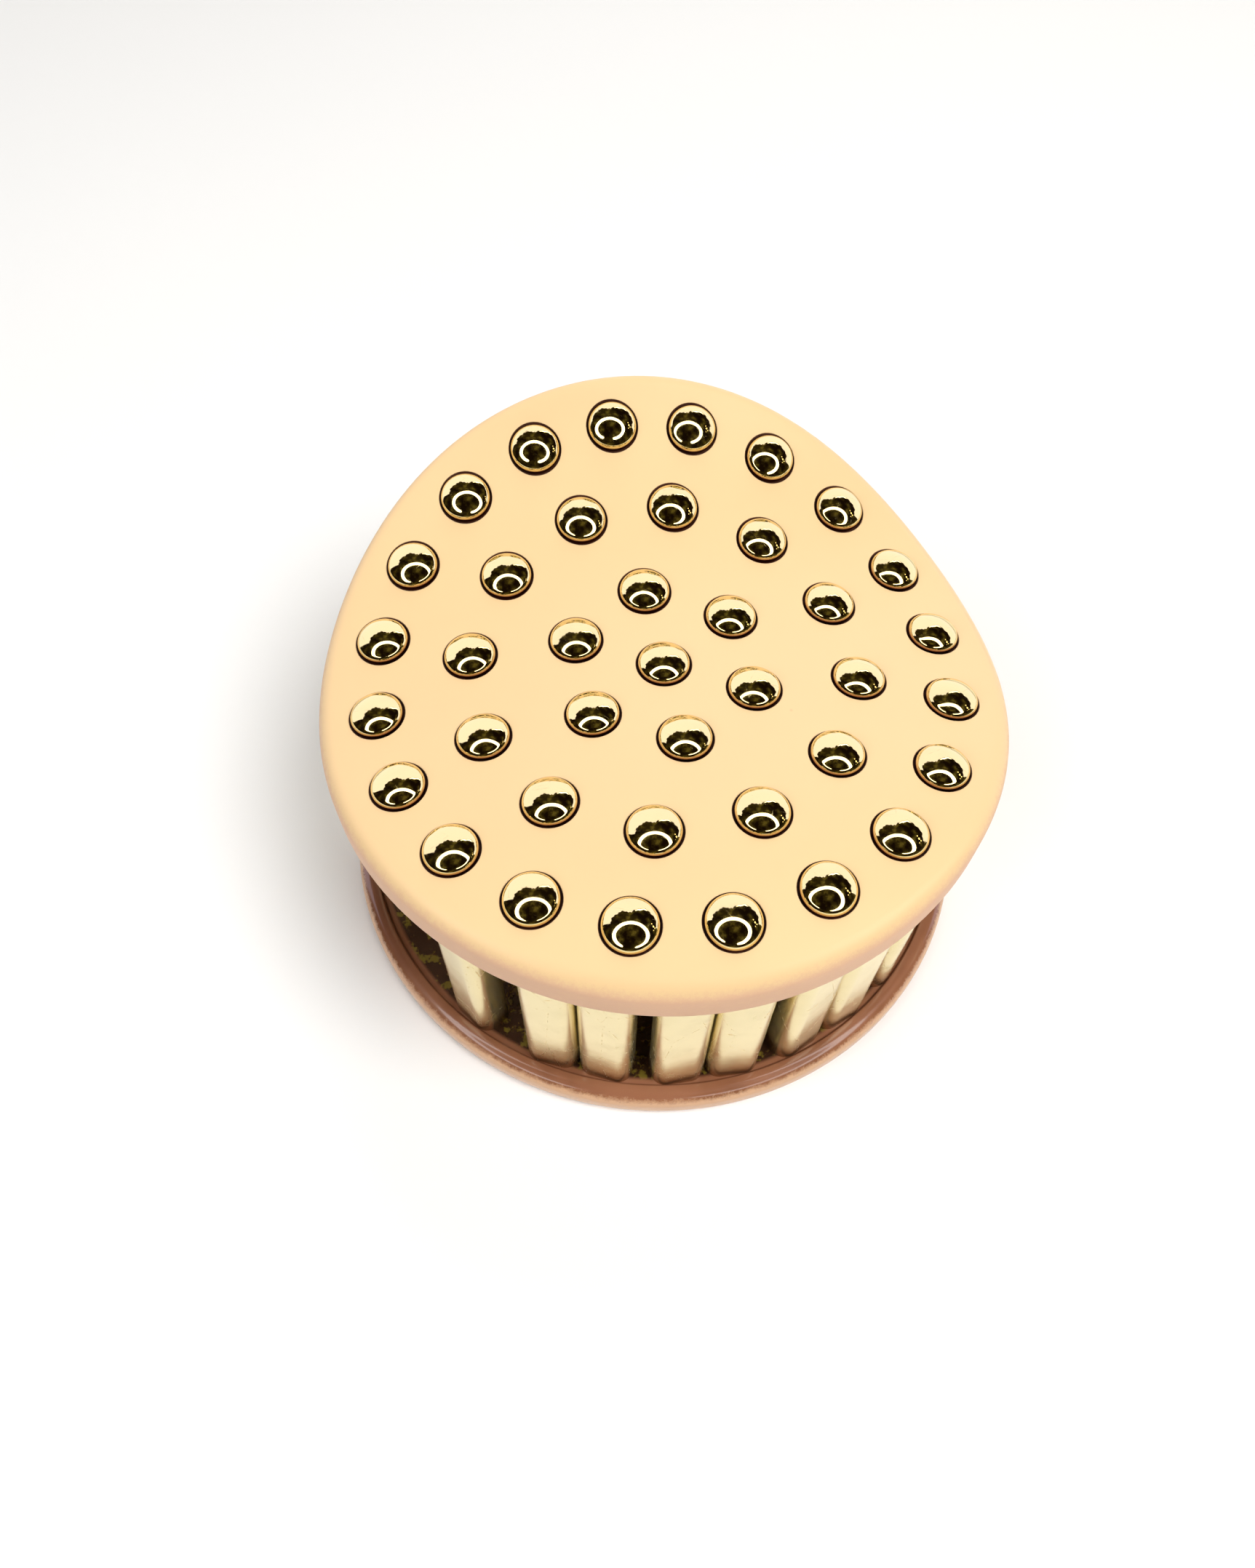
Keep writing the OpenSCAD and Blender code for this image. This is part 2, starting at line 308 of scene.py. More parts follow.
class Graph:
    """A material's node graph."""

    def __init__(self, name: str) -> None:
        """Starts a material with a Principled shader."""
        self.material = bpy.data.materials.new(name)
        self.material.use_nodes = True
        self.tree = self.material.node_tree
        self.shader = self.tree.nodes["Principled BSDF"]

    def add(
        self, kind: str, settings: dict[str, Any], values: dict[Any, Any], out: Any = 0
    ) -> Wire:
        """Adds a node.

        Args:
            kind: The node's type without its ShaderNode prefix.
            settings: Its settings, which are set first; "stops" are a ramp's (place, colour).
            values: Values or wires for its sockets, by name or number.
            out: Name or number of the output that is wanted.

        Returns:
            The output as a wire.
        """
        node = self.tree.nodes.new("ShaderNode" + kind)
        for key, value in settings.items():
            if key == "stops":
                self._set_stops(node.color_ramp, value)
            else:
                setattr(node, key, value)
        for key, value in values.items():
            self.feed(self._socket(node, key), value)
        outputs = {s.identifier: s for s in node.outputs}
        return Wire(self, outputs[out] if out in outputs else node.outputs[out])

    @staticmethod
    def _socket(node: bpy.types.Node, key: Any) -> bpy.types.NodeSocket:
        """Finds an input by its identifier, or else by its name or number."""
        by_identifier = {s.identifier: s for s in node.inputs}
        return by_identifier[key] if key in by_identifier else node.inputs[key]

    @staticmethod
    def _set_stops(ramp: bpy.types.ColorRamp, stops: list[tuple[float, Colour]]) -> None:
        """Sets a ramp's stops."""
        while len(ramp.elements) < len(stops):
            ramp.elements.new(1.0)
        for element, (place, colour) in zip(ramp.elements, stops):
            element.position = place
            element.color = (*colour, 1.0)

    def feed(self, socket: bpy.types.NodeSocket, value: Any) -> None:
        """Links a wire to a socket, or sets the socket to a number or a colour."""
        if isinstance(value, Wire):
            self.tree.links.new(value.socket, socket)
        elif isinstance(value, tuple) and len(socket.default_value) == 4:
            socket.default_value = (*value, 1.0)
        else:
            socket.default_value = value

    def place(self, centre: Colour = (0, 0, 0), scale: Colour = (1000, 1000, 1000)) -> Wire:
        """Object coordinates in millimetres, centred on a point given in metres."""
        start = self.add("TexCoord", {}, {}, "Object")
        shift = tuple(-c * s for c, s in zip(centre, scale))
        return self.add("Mapping", {}, {"Vector": start, "Location": shift, "Scale": scale})

    def noise(self, place: Wire, scale: float, detail: float = 2.0, rough: float = 0.5) -> Wire:
        """Noise from 0 to 1 with so many bumps to a millimetre."""
        return self.add(
            "TexNoise", {"noise_dimensions": "3D"},
            {"Vector": place, "Scale": scale, "Detail": detail, "Roughness": rough},
        )

    def mix(self, factor: Any, first: Any, second: Any, blend: str = "MIX") -> Wire:
        """Mixes two colours."""
        return self.add(
            "Mix", {"data_type": "RGBA", "blend_type": blend},
            {"Factor_Float": factor, "A_Color": first, "B_Color": second}, "Result_Color",
        )

    def bump(self, height: Wire, distance: float, strength: float, under: Any = None) -> Wire:
        """A normal bent by a height, whose full range is a distance in millimetres."""
        values = {"Height": height, "Distance": distance * MM, "Strength": strength}
        if under is not None:
            values["Normal"] = under
        return self.add("Bump", {}, values)

    def finish(self, **inputs: Any) -> bpy.types.Material:
        """Sets the shader's inputs, with _ for a space, and returns the material."""
        for key, value in inputs.items():
            self.feed(self.shader.inputs[key.replace("_", " ")], value)
        return self.material


# ---- Finishes ----


class Finish(Protocol):
    """What a piece is dressed in."""

    def material(self) -> bpy.types.Material:
        """Makes the finish's material."""


@dataclass(frozen=True)
class SatinResin:
    """Satin peach resin of the top plate; its pinker side and its seats carry painted shade."""

    face: Colour = (0.79, 0.555, 0.29)
    # side: a pinker tint of the resin, darkened as painted shade where the side gets less light.
    side: Colour = (0.70, 0.42, 0.26)
    speck: Colour = (0.42, 0.27, 0.15)
    # shade: painted shade in the counterbores round the heads.
    shade: Colour = (0.05, 0.014, 0.006)
    roughness: float = 0.42

    def material(self) -> bpy.types.Material:
        """Makes the resin's material."""
        graph = Graph("satin_peach_resin")
        place = graph.place()
        cloud = graph.noise(place, 0.045, 3.0)
        grain = graph.noise(place, 1.6, 3.0, 0.6)
        fine = graph.noise(place, 6.0, 2.0, 0.6)
        drop = graph.add("Attribute", {"attribute_name": "drop"}, {}, "Fac")
        # Painted shade with a pinker tint down the plate's side, by depth under the upper face.
        side = (drop + (grain - 0.5) * 1.1 + (fine - 0.5) * 0.8).step(0.25, 1.5)
        face = graph.mix((cloud - 0.35) * 0.8, self.face, tuple(0.93 * c for c in self.face))
        colour = graph.mix(side, face, self.side)
        mottled = graph.mix((grain - 0.45).step(0.0, 0.35) * 0.22 * side, colour, self.face)
        dots = graph.add(
            "TexVoronoi", {"feature": "F1"}, {"Vector": place, "Scale": 0.09}, "Distance"
        )
        specks = (0.035 - dots).step(0.0, 0.02) * 0.7
        colour = graph.mix(specks, mottled, self.speck)
        # Painted shade: seat walls and floors are painted near black, as shade in the gap round
        # each head.
        seat = graph.add("Attribute", {"attribute_name": "seat"}, {}, "Fac")
        shaded = seat.step(0.0, 0.07)
        colour = graph.mix(shaded, colour, self.shade)
        skin = graph.bump(fine, 0.012, 0.35)
        rough = self.roughness + (grain - 0.5) * 0.12 + side * 0.12 + shaded * 0.5
        return graph.finish(Base_Color=colour, Roughness=rough, Normal=skin, IOR=1.48)


@dataclass(frozen=True)
class GlossResin:
    """Glossy tan resin of the base plate, painted darker as shade from the top plate over it.

    It is rougher outside the radius outer, low on its edge, and painted paler there as bounce
    light from the floor. Inside floor_r, where the rods stand, it is painted near black as shade,
    with olive spots of painted reflection.
    """

    # deep and light: the tan resin darkened as painted shade, varied at random by cloud noise.
    deep: Colour = (0.20, 0.075, 0.035)
    light: Colour = (0.30, 0.125, 0.065)
    # Painted bounce light: the paler colour of the outer edge low down.
    bounce_lit_edge: Colour = (0.62, 0.36, 0.20)
    # Painted shade inside floor_r, with olive spots of painted reflection of the brass rods.
    floor: Colour = (0.035, 0.014, 0.007)
    olive: Colour = (0.20, 0.15, 0.02)
    outer: float = 37.9
    floor_r: float = 36.2
    floor_fade: float = 0.6

    def material(self) -> bpy.types.Material:
        """Makes the resin's material."""
        graph = Graph("glossy_tan_resin")
        place = graph.place()
        parts = {n: graph.add("SeparateXYZ", {}, {"Vector": place}, n) for n in "XYZ"}
        radius = (parts["X"] * parts["X"] + parts["Y"] * parts["Y"]) ** 0.5
        cloud = graph.noise(place, 0.09, 3.0)
        grain = graph.noise(place, 1.3, 4.0, 0.65)
        fine = graph.noise(place, 5.0, 2.0)
        ragged = (grain - 0.5) * 1.3 + (fine - 0.5) * 0.7
        # Painted bounce light: the outer edge low down is painted paler, and it is made rougher.
        bounce_lit_edge = (radius + ragged - (parts["Z"] - 2.4) * 0.7).step(self.outer - 0.6, self.outer + 0.5)
        # Body colour: painted shade over the tan resin, with random cloudy tone.
        body = graph.mix(cloud.step(0.3, 0.7), self.deep, self.light)
        colour = graph.mix(bounce_lit_edge, body, self.bounce_lit_edge)
        # Painted shade: the floor among the rods is near black, with olive spots of painted
        # reflection.
        spots = (graph.noise(place, 0.55, 3.0, 0.7) - 0.52).step(0.0, 0.1) * 0.8
        floor = graph.mix(spots, self.floor, self.olive)
        colour = graph.mix(radius.step(self.floor_r, self.floor_r - self.floor_fade), colour, floor)
        rough = 0.16 + grain * 0.1 + bounce_lit_edge * 0.34
        skin = graph.bump(graph.noise(place, 0.35, 2.0), 0.06, 0.35)
        skin = graph.bump(fine, 0.015, 0.3, skin)
        return graph.finish(
            Base_Color=colour, Roughness=rough, Normal=skin, Coat_Weight=0.6, Coat_Roughness=0.05
        )


@dataclass(frozen=True)
class PolishedBrass:
    """Polished brass with faint waviness, haze and hair scratches.

    Where edged is set, a dome is painted darker low on its rim: painted shade and a painted
    reflection of the plate. Where foot is set, the brass fades below that height to a painted
    reflection of the brown base.
    """

    name: str = "polished_brass"
    colour: Colour = (0.86, 0.70, 0.33)
    tarnish: Colour = (0.62, 0.43, 0.16)
    roughness: float = 0.04
    haze: float = 0.05
    dull: float = 0.35
    wave: float = 0.012
    scratch: float = 0.25
    metal: float = 1.0
    edged: bool = False
    # Painted shade and painted reflection of the plate, low on a dome's rim.
    rim_shade_and_reflection: Colour = (0.34, 0.16, 0.09)
    foot: float = 0.0
    foot_fade: float = 2.6
    # Painted reflection of the brown base, low on the rods.
    foot_reflection_colour: Colour = (0.30, 0.15, 0.06)

    def material(self) -> bpy.types.Material:
        """Makes the brass's material."""
        graph = Graph(self.name)
        place = graph.place()
        cloud = graph.noise(place, 0.25, 4.0, 0.6)
        spots = graph.noise(place, 1.4, 3.0, 0.6)
        lines = graph.add(
            "TexNoise", {}, {"Vector": graph.place(scale=(700.0, 900.0, 12000.0)), "Scale": 0.4}
        )
        cells = graph.add(
            "TexVoronoi", {"feature": "DISTANCE_TO_EDGE"},
            {"Vector": graph.place(scale=(300.0, 420.0, 160.0)), "Scale": 0.6}, "Distance",
        )
        hairs = (0.012 - cells).step(0.0, 0.012) * (spots - 0.35).step(0.1, 0.3)
        stain = (cloud - 0.45).step(0.0, 0.3) * self.dull
        colour = graph.mix(stain, self.colour, tuple(0.86 * c for c in self.colour))
        colour = graph.mix(hairs * self.scratch, colour, self.tarnish)
        rough = self.roughness + (cloud - 0.4).step(0.0, 0.4) * self.haze + hairs * 0.15
        # Painted shade and a painted reflection of the plate on the dome's rolled rim, low down.
        if self.edged:
            rise = graph.add("Attribute", {"attribute_name": "rise"}, {}, "Fac")
            edge = (rise + (spots - 0.5) * 0.12).step(0.52, 0.16)
            colour = graph.mix(edge, colour, self.rim_shade_and_reflection)
        # Painted reflection: below the foot height the brass fades towards the base's brown, as its
        # reflection.
        if self.foot:
            height = graph.add("SeparateXYZ", {}, {"Vector": place}, "Z")
            foot_reflection_mask = (height + (spots - 0.5) * 1.6).step(self.foot, self.foot - self.foot_fade)
            colour = graph.mix(foot_reflection_mask * 0.85, colour, self.foot_reflection_colour)
        skin = graph.bump(graph.noise(place, 0.5, 1.0), self.wave, 1.0)
        skin = graph.bump(lines, 0.002, 0.25, skin)
        return graph.finish(Base_Color=colour, Roughness=rough, Metallic=self.metal, Normal=skin)


# ---- The frog's own sizes ----


@dataclass(frozen=True)
class Wave:
    """The curve that the top plate is bent to: a height over the plan for every point."""

    radius: float = 38.0
    crown: float = 1.7
    saddle: float = 4.2
    saddle_turn: float = -73.5
    ripple: float = 2.2
    ripple_turn: float = -17.0
    lift: float = 5.3
    lift_turn: float = 105.0
    line_steps: int = 16
    line_rounds: int = 4

    def height(self, x: float, y: float) -> float:
        """Height of the wave over a point."""
        q, a = math.hypot(x, y) / self.radius, math.degrees(math.atan2(y, x))

        def lobe(folds: int, turn: float) -> float:
            """One swing of the rim with so many folds."""
            return math.cos(math.radians(folds * (a - turn)))

        twofold = self.crown + self.saddle * lobe(2, self.saddle_turn)
        rest = self.ripple * lobe(3, self.ripple_turn) + self.lift * lobe(1, self.lift_turn)
        return q * q * twofold + q * q * q * rest

    def square_to(self, x: float, y: float) -> Vector:
        """Unit vector square to the waved surface at a point."""
        d = 0.01
        gx = (self.height(x + d, y) - self.height(x - d, y)) / (2 * d)
        gy = (self.height(x, y + d) - self.height(x, y - d)) / (2 * d)
        return Vector((-gx, -gy, 1.0)).normalized()

    def line_length(self, r: float, turn: float) -> float:
        """Length of a line over the wave, from the middle out to radius r."""
        step, u = r / self.line_steps, (math.cos(turn), math.sin(turn))
        rise = [self.height(i * step * u[0], i * step * u[1]) for i in range(self.line_steps + 1)]
        return sum(math.hypot(step, b - a) for a, b in zip(rise, rise[1:]))

    def over(self, length: float, turn: float) -> Point:
        """Point where a line over the wave ends.

        Args:
            length: The line's length.
            turn: Its direction, in degrees.

        Returns:
            The end's x and y.
        """
        angle = math.radians(turn)
        r = length
        for _ in range(self.line_rounds if length > 0 else 0):
            r = r * length / self.line_length(r, angle)
        return r * math.cos(angle), r * math.sin(angle)

    def seat(self, spot: Point, z: float) -> Matrix:
        """Matrix that stands a thing on the wave at a spot, z over the plan."""
        up = self.square_to(*spot)
        turn = UP.rotation_difference(up).to_matrix().to_4x4()
        return Matrix.Translation((*spot, z + self.height(*spot))) @ turn


@dataclass(frozen=True)
class Layout:
    """Driving sizes of the frog and where its pieces stand."""

    wave: Wave = field(default_factory=Wave)
    base_r: float = 39.0
    plate_r: float = 38.0
    base_t: float = 4.0
    base_edge_r: float = 1.6
    rim_w: float = 2.3
    floor_drop: float = 0.5
    top_t: float = 5.4
    top_edge_r: float = 1.8
    lower_edge_r: float = 0.8
    clear_h: float = 26.4
    head_r: float = 2.85
    dome_h: float = 1.45
    dome_edge_r: float = 0.9
    head_gap: float = 0.15
    seat_depth: float = 0.45
    collar_step: float = 0.05
    peg_r: float = 1.2
    peg_len: float = 1.4
    rim_ring: tuple[float, int, float] = (31.4, 20, 15.2)
    middle_ring: tuple[float, int, float] = (21.3, 12, 0.4)
    inner_ring: tuple[float, int, float] = (10.2, 6, 45.6)
    pillar_w: float = 6.2
    pillar_depth: float = 4.4
    pillar_corner_r: float = 1.7
    pillar_rim_gap: float = 0.1
    plate_overhang: float = 1.2
    pair_count: int = 15
    pair_gap: float = 0.15
    pair_turn: float = -149.2
    open_places: int = 3
    first_turn: float = 3.7
    post_r: float = 3.0
    base_socket: float = 1.1
    top_socket: float = 0.6
    bolt_r: float = 1.5
    bolt_hole_r: float = 1.6
    sleeve_r: float = 3.0
    sleeve_seat: float = 0.4
    washer_r: float = 3.5
    washer_t: float = 0.4
    nut_flats: float = 5.5
    nut_t: float = 1.4
    recess_gap: float = 0.3
    nut_inset: float = 0.2
    bolt_proud: float = 0.1
    fit_gap: float = 0.02

    @property
    def floor_z(self) -> float:
        """Height of the floor that the rods stand on."""
        return self.base_t - self.floor_drop

    @property
    def floor_r(self) -> float:
        """Radius of that floor."""
        return self.base_r - self.rim_w

    @property
    def under_z(self) -> float:
        """Height of the top plate's underside at the centre."""
        return self.floor_z + self.clear_h

    @property
    def top_z(self) -> float:
        """Height of the top plate's upper face at the centre."""
        return self.under_z + self.top_t

    @property
    def seat_r(self) -> float:
        """Radius of a head's counterbore."""
        return self.head_r + self.head_gap

    def ring(self, ring: tuple[float, int, float]) -> list[Point]:
        """Spots of a ring of studs, given as (radius over the wave, count, turn)."""
        length, count, turn = ring
        return [self.wave.over(length, turn + i * 360 / count) for i in range(count)]

    def pillars(self) -> list[tuple[Vector, float]]:
        """Spot and direction in degrees of every outer pillar, two side by side in a pair."""
        half = (self.pillar_w + self.pair_gap) / 2
        corner = self.pillar_corner_r
        inside = self.floor_r - self.pillar_rim_gap - corner
        ring = math.sqrt(inside ** 2 - (self.pillar_w + self.pair_gap / 2 - corner) ** 2) + corner
        found = []
        for place in range(self.open_places, 2 * self.pair_count):
            turn = self.pair_turn + place // 2 * 360 / self.pair_count
            turn -= self.first_turn if place == self.open_places else 0
            edge = math.hypot(*self.wave.over(self.plate_r, turn)) - self.plate_overhang
            out = min(ring, edge) - self.pillar_depth / 2
            spot = Vector((out, half if place % 2 else -half))
            found.append((Matrix.Rotation(math.radians(turn), 2) @ spot, turn))
        return found


# ---- The frog's pieces ----


@dataclass
class TopPlate:
    """The waved plate that holds the studs."""

    sizes: Layout
    finish: Finish = field(default_factory=SatinResin)
    segments: int = 192
    ring_step: float = 1.5
    lip: float = 0.12

    def half_profile(self) -> list[Point]:
        """Closed half profile of the flat plate, from the centre seat round to the bore."""
        s = self.sizes
        flat, low = s.plate_r - s.top_edge_r, s.plate_r - s.lower_edge_r
        floor = s.top_t - s.seat_depth
        seat = [(s.bolt_hole_r, floor), (s.seat_r, floor), (s.seat_r, s.top_t - self.lip)]
        face = [(r, s.top_t) for r in spaced(s.seat_r + self.lip, flat, self.ring_step)[:-1]]
        edge = arc((flat, s.top_t - s.top_edge_r), s.top_edge_r, 90, 0, 10)
        edge += arc((low, s.lower_edge_r), s.lower_edge_r, 0, -90, 6)
        under = [(r, 0.0) for r in spaced(low, s.sleeve_r + s.fit_gap, self.ring_step)[1:]]
        sleeve = [(s.sleeve_r + s.fit_gap, s.sleeve_seat), (s.bolt_hole_r, s.sleeve_seat)]
        return seat + face + edge + under + sleeve

    def seat_cutter(self) -> Shape:
        """Cutter for one stud's counterbore and peg hole, with a flared lip."""
        s = self.sizes
        hole, foot = s.peg_r + s.fit_gap, -s.seat_depth - s.peg_len
        return Shape.turned([
            (0, foot), (hole, foot), (hole, -s.seat_depth), (s.seat_r, -s.seat_depth),
            (s.seat_r, -self.lip), (s.seat_r + self.lip, 0), (s.seat_r + 2 * self.lip, self.lip),
            (s.seat_r + 2 * self.lip, 1), (0, 1),
        ], 48)

    def bent(self, flat: Vector) -> Vector:
        """Place on the waved plate of a point of the flat one."""
        length, turn = math.hypot(flat.x, flat.y), math.degrees(math.atan2(flat.y, flat.x))
        x, y = self.sizes.wave.over(length, turn)
        return Vector((x, y, self.sizes.under_z + flat.z + self.sizes.wave.height(x, y)))

    def mark_depth(self, mesh: bpy.types.Mesh, spots: list[Point]) -> None:
        """Stores on each vertex how far it lies under the plate's upper face.

        Args:
            mesh: The finished plate, which gets one mark for its seats, named "seat", and one
                for the rest of it, named "drop".
            spots: Where the studs stand.
        """
        drop = mesh.attributes.new("drop", "FLOAT", "POINT").data
        seat = mesh.attributes.new("seat", "FLOAT", "POINT").data
        reach = self.sizes.seat_r + 2 * self.lip
        for i, vert in enumerate(mesh.vertices):
            x, y, z = vert.co / MM
            depth = self.sizes.top_z + self.sizes.wave.height(x, y) - z
            near = min(math.hypot(x - a, y - b) for a, b in spots)
            seated = near < reach and depth < self.sizes.top_t / 2
            seat[i].value, drop[i].value = (depth, 0.0) if seated else (0.0, depth)

    def build(self) -> bpy.types.Object:
        """Builds and dresses the plate."""
        s = self.sizes
        plate = Shape.turned(self.half_profile(), self.segments, ring=True)
        plate.bend(self.bent)
        plate.heal()
        blank = show("plate_blank", plate.mesh("plate_blank", 30))
        spots = s.ring(s.rim_ring) + s.ring(s.middle_ring) + s.ring(s.inner_ring)
        cutters = Shape.copies(self.seat_cutter(), [s.wave.seat(p, s.top_z) for p in spots])
        tool = show("seat_cutters", cutters.mesh("seat_cutters", 30))
        cut = blank.modifiers.new("seats", "BOOLEAN")
        cut.operation, cut.solver, cut.object = "DIFFERENCE", "EXACT", tool
        bpy.context.view_layer.update()
        solid = blank.evaluated_get(bpy.context.evaluated_depsgraph_get())
        mesh = bpy.data.meshes.new_from_object(solid)
        mesh.name = "waved_top"
        for spare in (blank, tool):
            bpy.data.objects.remove(spare)
        smooth(mesh, 24)
        self.mark_depth(mesh, spots + [(0.0, 0.0)])
        return place_piece(
            "waved_top", mesh, Slot.TOP_RESIN, self.finish.material(), "top_plate"
        )


@dataclass
class BaseDish:
    """The heavy base plate with its raised rim."""

    sizes: Layout
    finish: Finish = field(default_factory=GlossResin)
    segments: int = 192
    fillet: float = 0.25

    def build(self) -> bpy.types.Object:
        """Builds and dresses the base."""
        s = self.sizes
        flat, e = s.base_r - s.base_edge_r, s.base_edge_r
        recess_r = s.washer_r + s.recess_gap
        recess_h = s.nut_inset + s.nut_t + s.washer_t
        seat_r = s.sleeve_r + s.fit_gap
        profile = [
            (s.bolt_hole_r, s.floor_z - s.sleeve_seat), (seat_r, s.floor_z - s.sleeve_seat),
            (seat_r, s.floor_z),
        ]
        profile += [(r, s.floor_z) for r in spaced(seat_r, s.floor_r - self.fillet, 6)[1:-1]]
        profile += arc((s.floor_r - self.fillet, s.floor_z + self.fillet), self.fillet, -90, 0, 4)
        profile += arc((s.floor_r + self.fillet, s.base_t - self.fillet), self.fillet, 180, 90, 4)
        profile += arc((flat, s.base_t - e), e, 90, 0, 12)
        profile += arc((flat, e), e, 0, -90, 12)
        profile += [(recess_r, 0), (recess_r, recess_h), (s.bolt_hole_r, recess_h)]
        mesh = Shape.turned(profile, self.segments, ring=True).mesh("base_dish", 32)
        return place_piece(
            "base_dish", mesh, Slot.BASE_RESIN, self.finish.material(), "base_plate"
        )


def mark_rise(mesh: bpy.types.Mesh, sizes: Layout) -> None:
    """Stores on each vertex of a head how far it stands over the top plate."""
    rise = mesh.attributes.new("rise", "FLOAT", "POINT").data
    for vert, mark in zip(mesh.vertices, rise):
        x, y, z = vert.co / MM
        mark.value = z - sizes.top_z - sizes.wave.height(x, y)


@dataclass
class Studs:
    """The domed heads and the pegs under them."""

    sizes: Layout
    brass: bpy.types.Material
    segments: int = 64
    peg_chamfer: float = 0.15

    def dome_profile(self) -> list[Point]:
        """Half profile of a dome: its crown runs into a rolled edge."""
        s = self.sizes
        across, rise = s.head_r - s.dome_edge_r, s.dome_h - s.dome_edge_r
        drop = (across * across - rise * rise) / (2 * rise)
        meet = math.degrees(math.atan2(drop, across))
        crown = arc((0, -drop), drop + s.dome_h, 90, meet, 14)
        return [(0, s.dome_h)] + crown[1:] + arc((across, 0), s.dome_edge_r, meet, 0, 12)[1:]

    def head_profile(self) -> list[Point]:
        """Half profile of a head down to its collar's foot."""
        collar = self.sizes.head_r - self.sizes.collar_step
        return self.dome_profile() + [(collar, 0), (collar, -self.sizes.seat_depth)]

    def stud(self) -> Shape:
        """One stud with its peg, standing on height 0."""
        s = self.sizes
        foot, tip = -s.seat_depth - s.peg_len, self.peg_chamfer
        peg = [(s.peg_r, -s.seat_depth), (s.peg_r, foot + tip), (s.peg_r - tip, foot), (0, foot)]
        return Shape.turned(self.head_profile() + peg, self.segments)

    def build(self) -> list[bpy.types.Object]:
        """Builds and dresses the three rings of studs."""
        s = self.sizes
        rings = {
            "rim_stud_heads": (s.rim_ring, "rim_studs"),
            "middle_stud_heads": (s.middle_ring, "middle_studs"),
            "inner_stud_heads": (s.inner_ring, "inner_studs"),
        }
        made = []
        for name, (ring, node) in rings.items():
            seats = [s.wave.seat(p, s.top_z) for p in s.ring(ring)]
            mesh = Shape.copies(self.stud(), seats).mesh(name, 35)
            mark_rise(mesh, s)
            made.append(place_piece(name, mesh, Slot.POLISHED_BRASS, self.brass, node))
        return made


@dataclass
class CentreTie:
    """The bolt through the middle, its sleeve, washer and nut."""

    sizes: Layout
    dome_brass: bpy.types.Material
    brass: bpy.types.Material
    plain: bpy.types.Material
    bolt_chamfer: float = 0.2
    sleeve_chamfer: float = 0.1
    washer_chamfer: float = 0.06
    nut_rounding: float = 0.12

    def bolt(self) -> Shape:
        """The bolt: a stud's head on a long shank."""
        s = self.sizes
        foot = s.nut_inset - s.bolt_proud
        head = [(r, z + s.top_z) for r, z in Studs(s, self.brass).head_profile()]
        tip = self.bolt_chamfer
        shank = [(s.bolt_r, s.top_z - s.seat_depth), (s.bolt_r, foot + tip)]
        return Shape.turned(head + shank + [(s.bolt_r - tip, foot), (0, foot)])

    def tube(self, bore: float, outer: float, low: float, high: float, chamfer: float) -> Shape:
        """A ring or tube with chamfered outer edges."""
        return Shape.turned([
            (bore, high), (outer - chamfer, high), (outer, high - chamfer),
            (outer, low + chamfer), (outer - chamfer, low), (bore, low),
        ], ring=True)

    def nut(self) -> Shape:
        """The hexagonal nut, its sharp edges rounded."""
        s = self.sizes
        corner = s.nut_flats / 2 / math.cos(math.pi / 6)
        low, high = s.nut_inset, s.nut_inset + s.nut_t
        bore = s.bolt_r + s.fit_gap
        section = [(bore, high), (corner, high), (corner, low), (bore, low)]
        nut = Shape.turned(section, 6, ring=True)
        nut.soften(self.nut_rounding, 30.0)
        return nut

    def build(self) -> list[bpy.types.Object]:
        """Builds and dresses the four pieces."""
        s = self.sizes
        sleeve_low = s.floor_z - s.sleeve_seat
        sleeve_high = s.under_z + s.sleeve_seat
        washer_low = s.nut_inset + s.nut_t
        sleeve = self.tube(
            s.bolt_hole_r, s.sleeve_r, sleeve_low, sleeve_high, self.sleeve_chamfer)
        washer = self.tube(
            s.bolt_hole_r, s.washer_r, washer_low, washer_low + s.washer_t, self.washer_chamfer)
        plans = [
            ("sleeve_tube", sleeve, Slot.POLISHED_BRASS, "centre_sleeve"),
            ("washer_ring", washer, Slot.PLAIN_BRASS, "tie_washer"),
            ("hex_nut", self.nut(), Slot.PLAIN_BRASS, "tie_nut"),
        ]
        finishes = {Slot.POLISHED_BRASS: self.brass, Slot.PLAIN_BRASS: self.plain}
        mesh = self.bolt().mesh("centre_bolt", 35)
        mark_rise(mesh, s)
        bolt = place_piece(
            "centre_bolt", mesh, Slot.POLISHED_BRASS, self.dome_brass, "tie_bolt")
        return [bolt] + [
            place_piece(name, shape.mesh(name, 35), slot, finishes[slot], node)
            for name, shape, slot, node in plans
        ]


